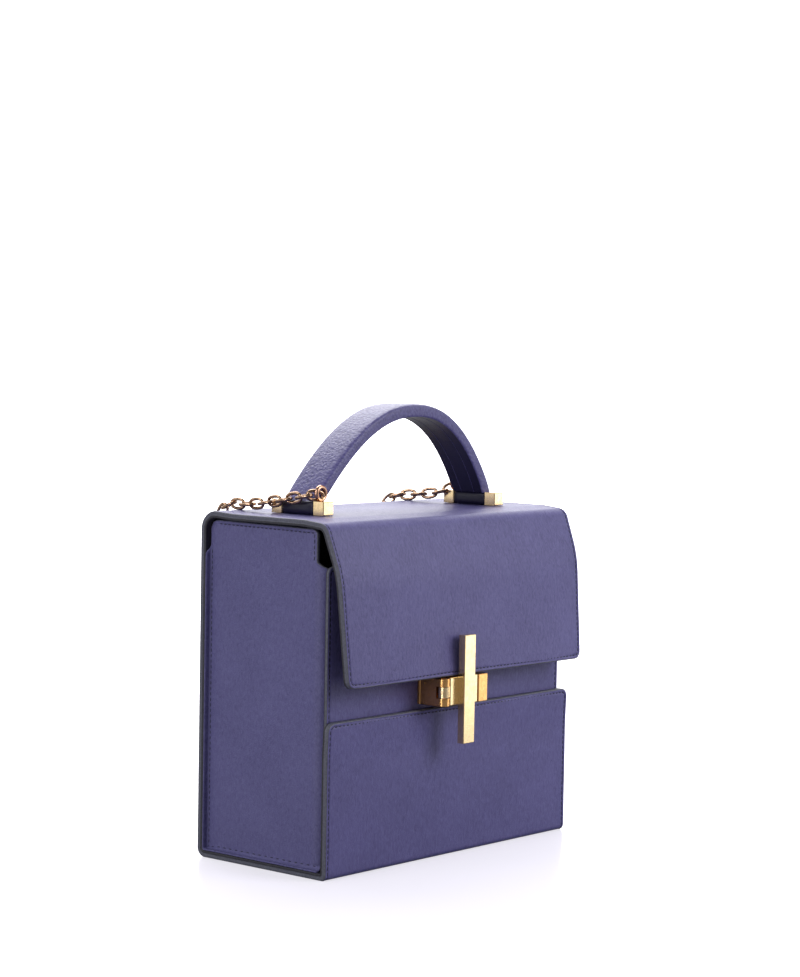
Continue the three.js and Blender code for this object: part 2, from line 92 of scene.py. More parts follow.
# Handle and its rolls
HANDLE_TOP = 241.2
HANDLE_FOOT = 190.6
HANDLE_REACH = 74.0
HANDLE_SWAY = 7.2
HANDLE_THICKNESS = 7.3
HANDLE_FOOT_WIDTH = 8.2
HANDLE_HALF_WIDTH = 10.9
HANDLE_SWELL = 0.6
# Half width of the handle's underside, which is painted near-black as shade
HANDLE_SHADED_HALF = 10.2
HANDLE_SEAM = 0.09
HANDLE_CENTRE_Y = 0.6
ARCH_POWER = 2.24
FITTING_X = 70.8
ROD_HEIGHT = 187.3
ROLL_HALF = 3.85
ROD_ROOM = 1.8
EYELET_CENTRES = [(-70.8, -12.5, 195.0), (70.8, 13.7, 195.0)]
EYELET_RADIUS = 4.5
EYELET_HOLE = 2.15
BLOCK_TOP = 191.2

# Stitches: distance from the edge, pitch, and the stitch's length, width and height
STITCH_INSET = 2.1
STITCH_PITCH = 2.9
STITCH = (2.2, 0.85, 0.6)

# Chain: link's outer length and width, wire, distance from link to link as they lie with some slack, the power
# of the link's oval, the heights between which the chain hangs, and the way from the left eyelet round to the
# right one
LINK_LENGTH = 10.6
LINK_WIDTH = 6.9
LINK_WIRE = 1.85
LINK_PITCH = 6.4
LINK_POWER = 2.5
LINK_LEANS = (78.0, -8.0)
HANGING = (12.0, 181.0)
CHAIN_ROUTE = [
    (-75.6, -10.5, 194.9), (-77.4, -3.5, 193.6), (-78.8, 5, 192), (-79.2, 14, 190.5), (-79.6, 23, 189),
    (-80.2, 31, 188.2), (-80.8, 38, 188), (-81.2, 44, 187.1), (-81.4, 48.8, 183), (-81.5, 50.8, 176),
    (-81.6, 51, 160), (-81.8, 50.6, 120), (-82, 50.4, 80), (-82.2, 50.4, 40), (-81.8, 51.2, 18), (-80, 54, 6.8),
    (-73, 60, 3.6), (-52, 69, 3.6), (-20, 83, 3.6), (14, 100, 3.6), (52, 122, 3.6), (90, 142, 3.6),
    (126, 151, 3.6), (149, 140, 3.6), (154, 116, 3.6), (139, 93, 3.6), (109, 75, 3.6), (75, 61, 3.6),
    (56.5, 53.5, 6.8), (52.4, 51.2, 18), (51.4, 50.4, 40), (51.2, 50.4, 80), (51, 50.6, 120), (50.8, 51, 160),
    (51, 50.8, 176), (52, 48.8, 183), (54, 44, 187.1), (56.8, 38, 188), (59.4, 31.4, 188.6),
    (61.6, 25.6, 189.4), (63.9, 20.8, 190.2), (65.6, 18.8, 190.7),
]
# The first and last stretch of that way, through the rings, and how far the links settle onto the lid
RING_STARTS = [(-71.6, -12.2, 194.3)]
RING_ENDS = [(68.2, 16.2, 192.3), (70.4, 14.0, 193.9)]
CHAIN_SETTLE = 0.7

# Camera: place in metres, azimuth, elevation and roll in degrees, and lens
CAMERA_PLACE = (-1.0347, -0.9004, 0.2743)
CAMERA_TURN = (-49.15, 3.32, 0.97)
CAMERA_LENS = 92.84


def group_tree(name, inputs, outputs):
    """A shader node group with named input and output sockets."""
    tree = bpy.data.node_groups.new(name, "ShaderNodeTree")
    for label, kind, value in inputs:
        socket = tree.interface.new_socket(name=label, in_out="INPUT", socket_type=kind)
        if value is not None:
            socket.default_value = value
    for label, kind in outputs:
        tree.interface.new_socket(name=label, in_out="OUTPUT", socket_type=kind)
    return tree, tree.nodes.new("NodeGroupInput"), tree.nodes.new("NodeGroupOutput")


def maths(tree, operation, first, second=None):
    """A Math node whose inputs are sockets or numbers; gives its output socket."""
    node = tree.nodes.new("ShaderNodeMath")
    node.operation = operation
    for slot, value in zip(node.inputs, (first, second)):
        if isinstance(value, bpy.types.NodeSocket):
            tree.links.new(value, slot)
        elif value is not None:
            slot.default_value = value
    return node.outputs[0]


def stretch(tree, vector, across, along):
    """A vector scaled by one number across the piece and another along it."""
    scales = tree.nodes.new("ShaderNodeCombineXYZ")
    tree.links.new(across, scales.inputs[0])
    tree.links.new(along, scales.inputs[1])
    tree.links.new(across, scales.inputs[2])
    product = tree.nodes.new("ShaderNodeVectorMath")
    product.operation = "MULTIPLY"
    tree.links.new(vector, product.inputs[0])
    tree.links.new(scales.outputs[0], product.inputs[1])
    return product.outputs[0]


def noise(tree, vector, scale, detail=3.0, roughness=0.55, distortion=0.0):
    """A noise texture's value on a vector."""
    node = tree.nodes.new("ShaderNodeTexNoise")
    node.inputs["Scale"].default_value = scale
    node.inputs["Detail"].default_value = detail
    node.inputs["Roughness"].default_value = roughness
    node.inputs["Distortion"].default_value = distortion
    tree.links.new(vector, node.inputs["Vector"])
    return node.outputs["Fac"]


def remap(tree, value, low, high, to_low, to_high):
    """A value moved from one range to another, clamped."""
    node = tree.nodes.new("ShaderNodeMapRange")
    tree.links.new(value, node.inputs["Value"])
    for label, number in zip(("From Min", "From Max", "To Min", "To Max"), (low, high, to_low, to_high)):
        node.inputs[label].default_value = number
    return node.outputs["Result"]


def blend(tree, amount, first, second):
    """A colour between two others, which are sockets or colours."""
    node = tree.nodes.new("ShaderNodeMix")
    node.data_type = "RGBA"
    tree.links.new(amount, node.inputs["Factor"])
    for slot, value in ((node.inputs[6], first), (node.inputs[7], second)):
        if isinstance(value, bpy.types.NodeSocket):
            tree.links.new(value, slot)
        else:
            slot.default_value = (*value, 1.0)
    return node.outputs[2]


def build_leather_grain():
    """Wavy streaks that run along the sheet, with finer pores between them: height, and a tone mask from 0 to
    1."""
    tree, source, target = group_tree("leather_grain", [
        ("Vector", "NodeSocketVector", None), ("Across", "NodeSocketFloat", 800.0),
        ("Along", "NodeSocketFloat", 120.0), ("Pores", "NodeSocketFloat", 1.3),
    ], [("Height", "NodeSocketFloat"), ("Tone", "NodeSocketFloat")])
    vector, across, along, depth = source.outputs[:4]
    streaks = noise(tree, stretch(tree, vector, across, along), 1.0, 3.0, 0.6, 1.2)
    pores = noise(tree, stretch(tree, vector, across, across), 2.2, 2.0)
    clouds = noise(tree, vector, 28.0, 2.0)
    height = maths(tree, "ADD", streaks, maths(tree, "MULTIPLY", pores, depth))
    tone = maths(tree, "ADD", maths(tree, "MULTIPLY", streaks, 0.75), maths(tree, "MULTIPLY", clouds, 0.25))
    tree.links.new(height, target.inputs["Height"])
    tree.links.new(remap(tree, tone, 0.3, 0.7, 0.0, 1.0), target.inputs["Tone"])
    return tree


def build_pebble_grain():
    """Small rounded pebbles with creases between them: height, and a tone mask from 0 to 1."""
    tree, source, target = group_tree("pebble_grain", [
        ("Vector", "NodeSocketVector", None), ("Across", "NodeSocketFloat", 900.0),
        ("Along", "NodeSocketFloat", 900.0),
    ], [("Height", "NodeSocketFloat"), ("Tone", "NodeSocketFloat")])
    vector = stretch(tree, source.outputs[0], source.outputs[1], source.outputs[2])
    cells = tree.nodes.new("ShaderNodeTexVoronoi")
    cells.feature = "SMOOTH_F1"
    cells.inputs["Scale"].default_value = 1.0
    tree.links.new(vector, cells.inputs["Vector"])
    wander = noise(tree, vector, 0.6, 3.0)
    height = maths(tree, "SUBTRACT", wander, maths(tree, "MULTIPLY", cells.outputs["Distance"], 0.8))
    tree.links.new(height, target.inputs["Height"])
    tree.links.new(remap(tree, height, -0.3, 0.5, 0.0, 1.0), target.inputs["Tone"])
    return tree


def build_wear():
    """Slow uneven patches and fine specks, for roughness and tarnish: a mask from 0 to 1."""
    tree, source, target = group_tree("wear", [
        ("Vector", "NodeSocketVector", None), ("Scale", "NodeSocketFloat", 60.0),
    ], [("Mask", "NodeSocketFloat")])
    vector = stretch(tree, source.outputs[0], source.outputs[1], source.outputs[1])
    patches = noise(tree, vector, 1.0, 4.0)
    specks = noise(tree, vector, 9.0, 2.0)
    mix = maths(tree, "ADD", maths(tree, "MULTIPLY", patches, 0.65), maths(tree, "MULTIPLY", specks, 0.35))
    tree.links.new(remap(tree, mix, 0.35, 0.65, 0.0, 1.0), target.inputs["Mask"])
    return tree


LEATHER_GRAIN = build_leather_grain()
PEBBLE_GRAIN = build_pebble_grain()
WEAR = build_wear()


def new_material(name, roughness, metallic=0.0, **fixed):
    """A material with a Principled shader; gives the material, its tree and the shader node."""
    material = bpy.data.materials.new(name)
    material.use_nodes = True
    shader = material.node_tree.nodes["Principled BSDF"]
    shader.inputs["Roughness"].default_value = roughness
    shader.inputs["Metallic"].default_value = metallic
    for label, value in fixed.items():
        shader.inputs[label.replace("_", " ")].default_value = value
    return material, material.node_tree, shader


def place_group(tree, group, vector, **values):
    """A group node fed with a vector and its own values."""
    node = tree.nodes.new("ShaderNodeGroup")
    node.node_tree = group
    tree.links.new(vector, node.inputs["Vector"])
    for label, value in values.items():
        node.inputs[label].default_value = value
    return node


def surface_vector(tree, kind):
    """The UV map or Object coordinates."""
    return tree.nodes.new("ShaderNodeTexCoord").outputs[kind]


def bump(tree, shader, height, strength, distance):
    """Bumps the shader's normal with a height."""
    node = tree.nodes.new("ShaderNodeBump")
    node.inputs["Strength"].default_value = strength
    node.inputs["Distance"].default_value = distance
    tree.links.new(height, node.inputs["Height"])
    tree.links.new(node.outputs[0], shader.inputs["Normal"])


def leather(name, group, dark, light, across, along, rough, strength, distance=0.00025, **fixed):
    """Leather whose tone and roughness follow its grain."""
    material, tree, shader = new_material(name, 0.5, **fixed)
    grain = place_group(tree, group, surface_vector(tree, "UV"), Across=across, Along=along)
    tree.links.new(blend(tree, grain.outputs["Tone"], dark, light), shader.inputs["Base Color"])
    tree.links.new(remap(tree, grain.outputs["Tone"], 0.0, 1.0, rough[0], rough[1]), shader.inputs["Roughness"])
    bump(tree, shader, grain.outputs["Height"], strength, distance)
    return material


def metal(name, dark, light, rough, scale, strength=0.05):
    """Plated metal with a worn, uneven polish."""
    material, tree, shader = new_material(name, rough[0], metallic=1.0)
    mask = place_group(tree, WEAR, surface_vector(tree, "Object"), Scale=scale).outputs["Mask"]
    tree.links.new(blend(tree, mask, dark, light), shader.inputs["Base Color"])
    tree.links.new(remap(tree, mask, 0.0, 1.0, rough[1], rough[0]), shader.inputs["Roughness"])
    bump(tree, shader, mask, strength, 0.0001)
    return material


def painted(name, dark, light, rough, scale, strength=0.2):
    """Edge paint, thread or bare hide: an uneven coat."""
    material, tree, shader = new_material(name, rough)
    mask = place_group(tree, WEAR, surface_vector(tree, "Object"), Scale=scale).outputs["Mask"]
    tree.links.new(blend(tree, mask, dark, light), shader.inputs["Base Color"])
    bump(tree, shader, mask, strength, 0.0002)
    return material


NAVY = leather("navy_leather", LEATHER_GRAIN, (0.074, 0.067, 0.188), (0.126, 0.116, 0.306), 850, 290,
               (0.50, 0.40), 0.35, Specular_IOR_Level=0.3)
NAVY_FINE = leather("navy_fine_leather", LEATHER_GRAIN, (0.076, 0.071, 0.183), (0.128, 0.121, 0.280), 950, 430,
                    (0.50, 0.38), 0.45, Specular_IOR_Level=0.32)
NAVY_PEBBLED = leather("navy_pebbled_leather", PEBBLE_GRAIN, (0.066, 0.059, 0.165), (0.118, 0.108, 0.280),
                       780, 780, (0.46, 0.34), 0.7, 0.0004, Specular_IOR_Level=0.35)
# Black smooth leather of the rolls; on the handle's underside the same material is painted shade over navy
# leather
BLACK_ROLL_AND_SHADE = leather("black_roll_leather_and_painted_shade", PEBBLE_GRAIN, (0.006, 0.005, 0.018), (0.011, 0.010, 0.034),
                       1500, 1500, (0.36, 0.28), 0.12, Specular_IOR_Level=0.38)
LINING = leather("dark_lining", PEBBLE_GRAIN, (0.006, 0.006, 0.014), (0.012, 0.011, 0.026), 1600, 1600,
                 (0.8, 0.7), 0.2)
EDGE_PAINT = painted("edge_paint", (0.060, 0.062, 0.088), (0.105, 0.108, 0.145), 0.5, 900)
EDGE_INNER = painted("inner_edge_paint", (0.010, 0.010, 0.017), (0.026, 0.026, 0.038), 0.5, 900)
THREAD = painted("navy_thread", (0.010, 0.009, 0.035), (0.025, 0.023, 0.075), 0.55, 1500)
PALE_GOLD = metal("pale_gold", (0.86, 0.64, 0.34), (0.95, 0.74, 0.43), (0.16, 0.26), 400)
WARM_GOLD = metal("warm_gold", (0.72, 0.38, 0.13), (0.88, 0.50, 0.19), (0.16, 0.28), 350)
CHAIN_GOLD = metal("antique_gold", (0.20, 0.12, 0.075), (0.62, 0.41, 0.27), (0.12, 0.24), 700)
ROSY_BRONZE = metal("rosy_bronze", (0.38, 0.20, 0.13), (0.66, 0.40, 0.28), (0.18, 0.30), 600)


def quads_between(index):
    """Quads between neighbouring entries of a table of point numbers."""
    corners = (index[:-1, :-1], index[:-1, 1:], index[1:, 1:], index[1:, :-1])
    return np.stack(corners, axis=-1).reshape(-1, 4)


def grid_faces(rows, columns, ring=False, torus=False):
    """Quads of a grid of rows and columns. A ring's columns close round, and so do a torus's rows as well."""
    index = np.arange(rows * columns).reshape(rows, columns)
    if torus:
        index = np.vstack([index, index[:1]])
    if ring or torus:
        index = np.hstack([index, index[:, :1]])
    return quads_between(index)


def facing_out(points, faces):
    """The quads, turned round where the volume that they enclose comes out negative."""
    a, b, c, d = (points[faces[:, i]] for i in range(4))
    volume = (np.cross(b - a, c - a) * a).sum() + (np.cross(c - a, d - a) * a).sum()
    return faces if volume > 0 else faces[:, ::-1]


def add_piece(name, points, faces, materials, body="bag", kinds=None, uv=None, slot=None, stands_for=()):
    """A smooth mesh object from points in millimetres and quads, with a material index for each face, riding on
    a body."""
    points = np.asarray(points, float)
    turned = facing_out(points, faces)
    mesh = bpy.data.meshes.new(name)
    mesh.from_pydata((points * MM).tolist(), [], turned.tolist())
    if uv is not None:
        layer = mesh.uv_layers.new(name="surface")
        layer.data.foreach_set("uv", (uv[turned.ravel()] * MM).ravel())
    for material in materials:
        mesh.materials.append(material)
    if kinds is not None:
        mesh.polygons.foreach_set("material_index", kinds)
    mesh.polygons.foreach_set("use_smooth", np.full(len(turned), True))
    mesh.validate()
    mesh.update()
    piece = bpy.data.objects.new(name, mesh)
    scene.collection.objects.link(piece)
    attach(piece, body)
    if stands_for:
        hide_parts(*stands_for)
    return piece


def unit(vectors):
    """Vectors made one long."""
    return vectors / np.linalg.norm(vectors, axis=-1, keepdims=True)


def lengths_along(line):
    """How far along a line each of its points lies."""
    return np.concatenate([[0], np.cumsum(np.linalg.norm(np.diff(line, axis=0), axis=1))])


def points_at(at, length, line):
    """The points of a line at given lengths along it."""
    return np.stack([np.interp(at, length, column) for column in line.T], axis=1)


def offset_line(corners, distance, step=0.07):
    """A line through corners (a, b, round) moved sideways by a distance to the left of its way, with arcs at
    its corners. Every distance gives the same number of points, so that two such lines pair up."""
    corners = np.array(corners, float)
    ways = unit(np.diff(corners[:, :2], axis=0))
    left = np.stack([-ways[:, 1], ways[:, 0]], axis=1)
    line = [corners[0, :2] + left[0] * distance]
    for i in range(1, len(corners) - 1):
        before, after = left[i - 1], left[i]
        corner = corners[i, :2] + (before + after) * distance / (1 + before @ after)
        turn = 1.0 if ways[i] @ left[i - 1] > 0 else -1.0
        angle = math.acos(np.clip(ways[i - 1] @ ways[i], -1, 1))
        radius = max(corners[i, 2] - turn * distance, SHARP)
        centre = corner - ways[i - 1] * radius * math.tan(angle / 2) + before * turn * radius
        bearings = math.atan2(-turn * before[1], -turn * before[0]) + turn * np.linspace(
            0, angle, max(3, math.ceil(angle / step)) + 1)
        line.extend(centre + radius * np.stack([np.cos(bearings), np.sin(bearings)], axis=1))
    line.append(corners[-1, :2] + left[-1] * distance)
    return np.array(line)


def spread(low, high, margins, step, extra=()):
    """Positions from low to high: the margins in from both ends, the extra ones, and a step between."""
    margins = np.asarray(margins, float)
    middle = np.linspace(low + margins[-1], high - margins[-1], max(2, round((high - low) / step)))
    places = np.concatenate([low + margins, middle, high - margins, np.asarray(extra, float)])
    places = np.unique(np.clip(places, low, high).round(3))
    keep = np.concatenate([[True], np.diff(places) > 0.2])
    keep[-1] = True
    return places[keep]


def edge_profile(wall, bulge, layers=1, count=7):
    """Across a cut edge: how far each of its points stands out, and how deep it lies. Each layer of hide is a
    lobe with round corners, 1 - |x| ^ 4, and between two layers the edge falls back."""
    x = np.linspace(-1, 1, count + 2)[1:-1]
    lobe = (1 - x ** 4) ** 0.5
    depth = (x + 1) / 2 * wall / layers
    out = np.concatenate([lobe] * layers) * bulge
    return out, np.concatenate([depth + i * wall / layers for i in range(layers)])


def sheet(name, rows, left, right, place, wall, relief, edge, margins, step, kinds=(0, 1, 2), **piece):
    """A sheet of hide. Its flat form has one row for each place along it, from a left to a right limit.
    place(a, s, h) gives the point at a across, s along and h below the outer face. The outer face sinks by
    relief(a, s, d), where d is the distance to the edge, and the rim follows edge, an edge_profile, all round.
    Its inner layer has a darker paint."""
    rows, left, right = (np.asarray(values, float) for values in (rows, left, right))
    margins = np.asarray(margins, float)
    share = np.linspace(0, 1, max(2, round((right - left).max() / step)))[1:-1]
    inner = left[:, None] + margins[-1] + (right - left - 2 * margins[-1])[:, None] * share
    a = np.hstack([left[:, None] + margins, inner, right[:, None] - margins[::-1]])
    s = np.repeat(rows[:, None], a.shape[1], axis=1)
    count, across = a.shape
    index = np.arange(count * across).reshape(count, across)
    loop = np.concatenate([index[0, :-1], index[:-1, -1], index[-1, :0:-1], index[:0:-1, 0]])
    flat = np.stack([a.ravel(), s.ravel()], axis=1)
    rim = flat[loop]
    tangent = unit(np.roll(rim, -1, axis=0) - np.roll(rim, 1, axis=0))
    outward = np.stack([tangent[:, 1], -tangent[:, 0]], axis=1)
    distance = np.full(len(flat), 1e9)
    for part in np.array_split(rim, 8):
        distance = np.minimum(distance, np.linalg.norm(flat[:, None] - part[None], axis=2).min(axis=1))
    top = place(flat[:, 0], flat[:, 1], relief(flat[:, 0], flat[:, 1], distance + edge[0].max()))
    under = place(flat[:, 0], flat[:, 1], np.full(len(flat), wall))
    rings = [place(*(rim + outward * out).T, np.full(len(rim), depth)) for out, depth in zip(*edge)]
    total = len(flat)
    ring_index = 2 * total + np.arange(len(rings) * len(loop)).reshape(len(rings), len(loop))
    ring_index = np.vstack([loop, ring_index, total + loop])
    band = quads_between(np.hstack([ring_index, ring_index[:, :1]]))
    face = grid_faces(count, across)
    faces = np.vstack([face, band[:, ::-1], face[:, ::-1] + total])
    points = np.vstack([top, under] + rings)
    uv = np.vstack([flat, flat] + [rim + outward * out for out in edge[0]])
    inner = (np.append(edge[1], wall) > EDGE_INNER_FROM * wall) & (kinds[1] == 1)
    rim_kinds = np.where(inner, 4, kinds[1])
    slots = np.concatenate([np.full(len(face), kinds[0]), np.repeat(rim_kinds, len(loop)),
                            np.full(len(face), kinds[2])])
    hides = [NAVY, EDGE_PAINT, LINING, NAVY_FINE, EDGE_INNER]
    return add_piece(name, points, faces, hides, kinds=slots, uv=uv, **piece)


def along_polyline(line, pitch):
    """Points a pitch apart on a flat line through given points, and the way of the line at each."""
    line = np.asarray(line, float)
    length = lengths_along(line)
    count = max(1, int(length[-1] / pitch))
    at = np.linspace(pitch / 2, length[-1] - pitch / 2, count)
    ahead, behind = (points_at(at + step, length, line) for step in (0.2, -0.2))
    return (ahead + behind) / 2, unit(ahead - behind)


def stitches(name, lines, place, sink, pitch=STITCH_PITCH):
    """Rows of stitches: each is a lozenge of thread, round across and tapered towards both ends, that lies
    along its line at a depth below the sheet's face."""
    middles, ways = (np.vstack(parts) for parts in zip(*(along_polyline(line, pitch) for line in lines)))
    depth = np.full(len(middles), sink)
    centre = place(middles[:, 0], middles[:, 1], depth)
    ahead = middles + ways * 0.1
    tangent = unit(place(ahead[:, 0], ahead[:, 1], depth) - centre)
    normal = unit(centre - place(middles[:, 0], middles[:, 1], depth + 0.1))
    side = unit(np.cross(tangent, normal))
    t = np.array([-1, -0.72, 0, 0.72, 1])
    bearing = np.arange(6) * math.pi / 3
    swell = np.sqrt(np.clip(1 - t ** 2, 0, 1)) * 0.9 + 0.1
    length, width, height = STITCH
    local = np.stack([
        np.repeat(t * length / 2, 6),
        (swell[:, None] * np.cos(bearing)).ravel() * width / 2,
        (swell[:, None] * np.sin(bearing)).ravel() * height / 2,
    ], axis=1)
    basis = np.stack([tangent, side, normal], axis=1)
    points = centre[:, None] + np.einsum("kj,njc->nkc", local, basis)
    quads = grid_faces(5, 6, ring=True)
    ends = np.array([[3, 2, 1, 0], [5, 4, 3, 0], [24, 25, 26, 27], [24, 27, 28, 29]])
    shape = np.vstack([quads, ends])
    faces = (shape[None] + (np.arange(len(centre)) * 30)[:, None, None]).reshape(-1, 4)
    return add_piece(name, points.reshape(-1, 3), faces, [THREAD], slot="leather")


def revolved(centre, axis, profile, count=40):
    """A closed profile (radius, along) turned about an axis through a centre."""
    bearing = np.arange(count) * 2 * math.pi / count
    profile = np.asarray(profile, float)
    radius, along = profile[:, 0][:, None], profile[:, 1][:, None]
    ring = (radius * np.cos(bearing), radius * np.sin(bearing), along + 0 * bearing)
    order = {"x": (2, 0, 1), "y": (0, 2, 1), "z": (0, 1, 2)}[axis]
    points = np.stack([ring[i] for i in order], axis=-1).reshape(-1, 3) + np.asarray(centre, float)
    return points, grid_faces(len(profile), count, torus=True)


MARGINS = [0, 0.25, 0.5, 0.8, 1.05, 1.3, 1.5, 1.7, 1.95, 2.3, 2.8, 3.6, 4.8]
EDGE_ROUND = 0.55
EDGE_INNER_FROM = 0.64


def stitched_edge(a, s, d):
    """Depth below the flat face at a distance d from the edge: a bell-shaped groove under the stitches, and a
    gently raised roll outside it."""
    groove = 0.34 * np.exp(-((d - STITCH_INSET) / 0.42) ** 2)
    roll = 0.16 * np.exp(-((d - 1.1) / 0.5) ** 2)
    return groove - roll


outer_line = offset_line(WRAP_OUTLINE, 0.0)
inner_line = offset_line(WRAP_OUTLINE, WRAP_WALL)
for line in (outer_line, inner_line):
    line[0] += unit(line[0] - line[1]) * SPARE
    line[-1] += unit(line[-1] - line[-2]) * SPARE
wrap_at = lengths_along(outer_line) - SPARE
wrap_length = wrap_at[-1] - SPARE


def on_wrap(a, s, h):
    """A point of the wrap: at s along its outline, moved inwards by a share of the wall."""
    outer = [np.interp(s, wrap_at, outer_line[:, i]) for i in (0, 1)]
    inner = [np.interp(s, wrap_at, inner_line[:, i]) for i in (0, 1)]
    share = h / WRAP_WALL
    return np.stack([a] + [o + (i - o) * share for o, i in zip(outer, inner)], axis=-1)


def corner_cut(distance, radius):
    """How far a rounded corner draws the side in, at a distance from the end."""
    x = np.clip(radius - distance, 0, radius)
    return radius - np.sqrt(np.clip(radius ** 2 - x ** 2, 0, None))


def wrap_half_width(s):
    """Half the wrap's width: the flap tapers towards its lower edge."""
    height = np.interp(s, wrap_at, outer_line[:, 1])
    taper = np.clip((FLAP_TAPER_TOP - height) / (FLAP_TAPER_TOP - FLAP_EDGE), 0, 1)
    return HALF_WIDTH - FLAP_TAPER * np.where(s > wrap_length * 0.8, taper, 0)


def make_wrap():
    """The one stiff sheet, from the pocket's upper edge round to the flap's lower edge."""
    rows = spread(EDGE_ROUND, wrap_length - EDGE_ROUND, MARGINS, 4.5, wrap_at[1:-1])
    half = wrap_half_width(rows) - EDGE_ROUND
    half -= corner_cut(rows - EDGE_ROUND, POCKET_CORNER - EDGE_ROUND)
    half -= corner_cut(wrap_length - EDGE_ROUND - rows, FLAP_CORNER - EDGE_ROUND)
    return sheet("wrap_leather", rows, -half, half, on_wrap, WRAP_WALL, stitched_edge,
                 edge_profile(WRAP_WALL, EDGE_ROUND, 2), MARGINS, 4.5, stands_for=["outer_wrap"],
                 slot="leather")


def wrap_stitches():
    """One line of stitches round the whole wrap, inside its edge."""
    s = spread(STITCH_INSET, wrap_length - STITCH_INSET, [0, 0.3, 0.8, 1.5, 2.4, 3.4], 1.6)
    half = wrap_half_width(s) - STITCH_INSET
    half -= corner_cut(s - STITCH_INSET, POCKET_CORNER - STITCH_INSET)
    half -= corner_cut(wrap_length - STITCH_INSET - s, FLAP_CORNER - STITCH_INSET)
    lines = [np.stack([side * half, s], axis=1) for side in (-1, 1)]
    for end in (0, -1):
        lines.append([(-half[end], s[end]), (half[end], s[end])])
    return stitches("wrap_stitches", lines, on_wrap, 0.24)


def on_panel(a, s, h):
    """A point of the flat inner front panel."""
    return np.stack([a, PANEL_FACE + h, s], axis=-1)


def make_panel():
    """The inner front wall behind the flap and the pocket, with rounded upper corners."""
    round_edge = 0.4
    rows = spread(GUSSET_LOW + round_edge, PANEL_TOP - round_edge, MARGINS, 6)
    half = GUSSET_FACE - round_edge - corner_cut(PANEL_TOP - round_edge - rows, PANEL_CORNER - round_edge)
    return sheet("front_panel_leather", rows, -half, half, on_panel, PANEL_WALL, stitched_edge,
                 edge_profile(PANEL_WALL, round_edge), MARGINS, 8, stands_for=["front_panel"], slot="leather")


def panel_stitches():
    """Stitches along the panel's sides and upper edge."""
    half, top = GUSSET_FACE - STITCH_INSET, PANEL_TOP - STITCH_INSET
    lines = [[(side * half, GUSSET_LOW + 2), (side * half, top)] for side in (-1, 1)]
    lines.append([(-half, top), (half, top)])
    return stitches("front_panel_stitches", lines, on_panel, 0.24)


def smooth_step(x):
    """0 below 0, 1 above 1, and 3x^2 - 2x^3 between."""
    x = np.clip(x, 0, 1)
    return x * x * (3 - 2 * x)


def gusset_turn(z):
    """The angle that the gusset's front rolls through at a height: a quarter turn below, none at the top."""
    low, high = GUSSET_TURN
    return math.pi / 2 * (1 - smooth_step((z - low) / (high - low)))


def gusset_reach(z):
    """The gusset's width along its own surface at a height: the straight part, the roll and the rest."""
    turn = gusset_turn(z)
    straight = GUSSET_BACK - GUSSET_FRONT - GUSSET_ROLL
    free = np.minimum(GUSSET_ROLL * (1 - np.sin(turn)) / np.maximum(np.cos(turn), 0.02), GUSSET_FREE)
    flange = GUSSET_FLANGE * (1 - smooth_step((z - GUSSET_TURN[0] + 6) / 6))
    return straight + GUSSET_ROLL * turn + np.maximum(free, flange)


def on_gusset(side):
    """The placing of one gusset: flat from its back edge, then an arc, then straight again."""
    straight = GUSSET_BACK - GUSSET_FRONT - GUSSET_ROLL

    def place(a, s, h):
        z = s * (1 - GUSSET_SLOPE / GUSSET_TOP * np.clip(a, 0, None) / straight)
        beyond = np.clip(a - straight, 0, None)
        angle = np.minimum(beyond / GUSSET_ROLL, gusset_turn(s))
        rest = beyond - angle * GUSSET_ROLL
        radius = GUSSET_ROLL - h
        x = GUSSET_FACE - GUSSET_ROLL + radius * np.cos(angle) - rest * np.sin(angle)
        y = GUSSET_FRONT + GUSSET_ROLL - radius * np.sin(angle) - rest * np.cos(angle)
        y = np.where(a < straight, GUSSET_BACK - a, y)
        return np.stack([side * x, y, z], axis=-1)

    return place


def make_gusset(side, word):
    """One recessed side wall, with a stitched edge along its free top and front."""
    round_edge = 0.45
    rows = spread(GUSSET_LOW + round_edge, GUSSET_TOP - round_edge, MARGINS, 3.5,
                  np.arange(GUSSET_TURN[0] - 7, GUSSET_TURN[1] + 3, 1.0))
    left = round_edge + corner_cut(GUSSET_TOP - round_edge - rows, 5.0)
    left += corner_cut(rows - GUSSET_LOW - round_edge, 1.2)
    right = gusset_reach(rows) - round_edge - corner_cut(GUSSET_TOP - round_edge - rows, 2.8)

    def relief(a, s, d):
        return stitched_edge(a, s, d) * smooth_step((s - GUSSET_TURN[1] + 2) / 4) * smooth_step((a - 3.0) / 4)

    return sheet(f"gusset_{word}_leather", rows, left, right, on_gusset(side), GUSSET_WALL, relief,
                 edge_profile(GUSSET_WALL, round_edge), MARGINS, 3.0, kinds=(3, 1, 2),
                 stands_for=[f"gusset_{word}"], slot="leather")


def gusset_stitches(side, word):
    """Stitches along the gusset's top and its free front."""
    top = GUSSET_TOP - STITCH_INSET
    front = gusset_reach(np.array([GUSSET_TOP]))[0] - STITCH_INSET
    lines = [[(6.0, top), (front, top)], [(front, GUSSET_TURN[1]), (front, top)]]
    stitches(f"gusset_{word}_stitches", lines, on_gusset(side), 0.24)


def wrap_place(y, z):
    """How far along the wrap's outline its outer face is nearest to a point."""
    s = np.linspace(0, wrap_length, 6000)
    points = on_wrap(0 * s, s, 0 * s)
    return s[np.argmin(np.hypot(points[:, 1] - y, points[:, 2] - z))]


